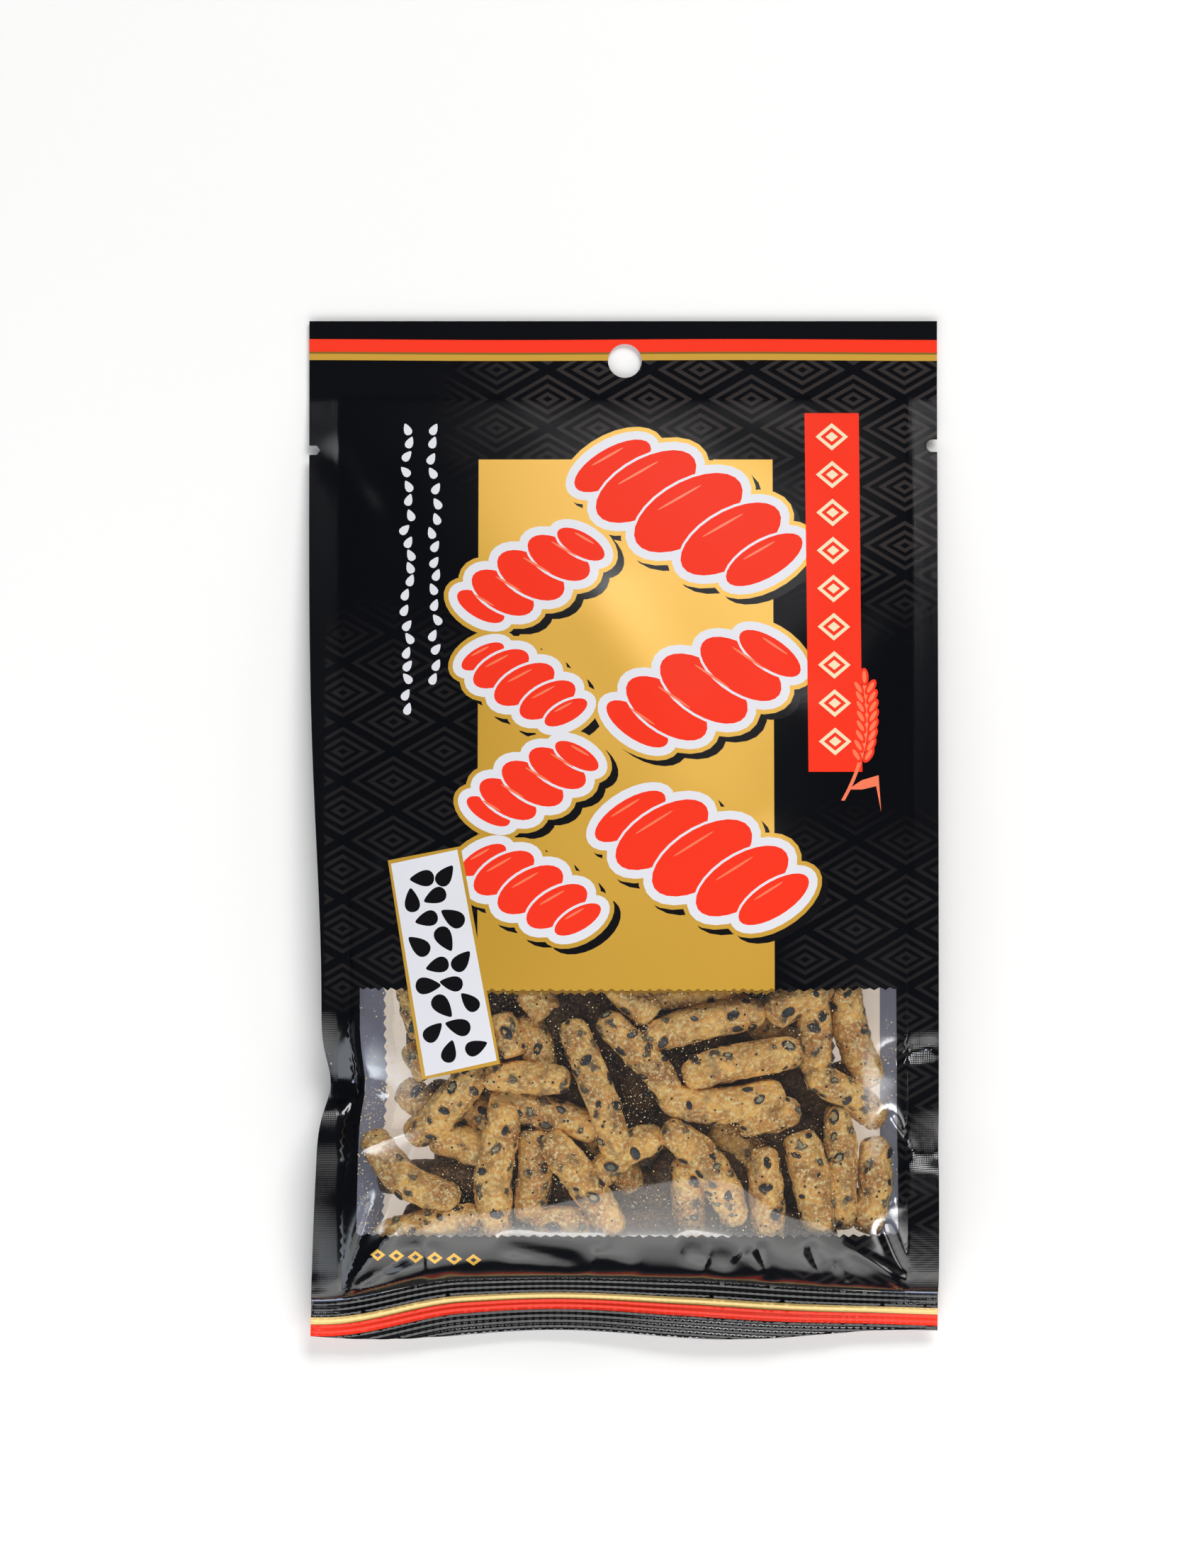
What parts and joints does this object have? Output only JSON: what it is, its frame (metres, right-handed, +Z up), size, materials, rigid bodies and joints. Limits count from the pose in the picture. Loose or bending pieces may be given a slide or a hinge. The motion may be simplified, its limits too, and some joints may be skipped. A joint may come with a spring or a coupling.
{
  "type": "sealed pouch of karinto",
  "caption": "Sealed pillow pouch of fried dough sticks with black sesame, lying on its back, with a clear window, a hang hole and tear notches.",
  "frame": {"origin": "centre of the pouch's outline, on the table that the pouch lies on", "axes": "+Z up, out of the front with the window; +Y along the pouch, towards the end with the hang hole; +X to the right as seen from the front"},
  "size_m": [0.15, 0.243, 0.0299],
  "materials": {
    "printed_film": "gloss black printed film",
    "clear_film": "clear gloss film",
    "fried_dough": "grainy fried dough with black sesame"
  },
  "bodies": {
    "root": {"pouch": "printed_film", "window": "clear_film", "karinto": "fried_dough"}
  },
  "joints": []
}
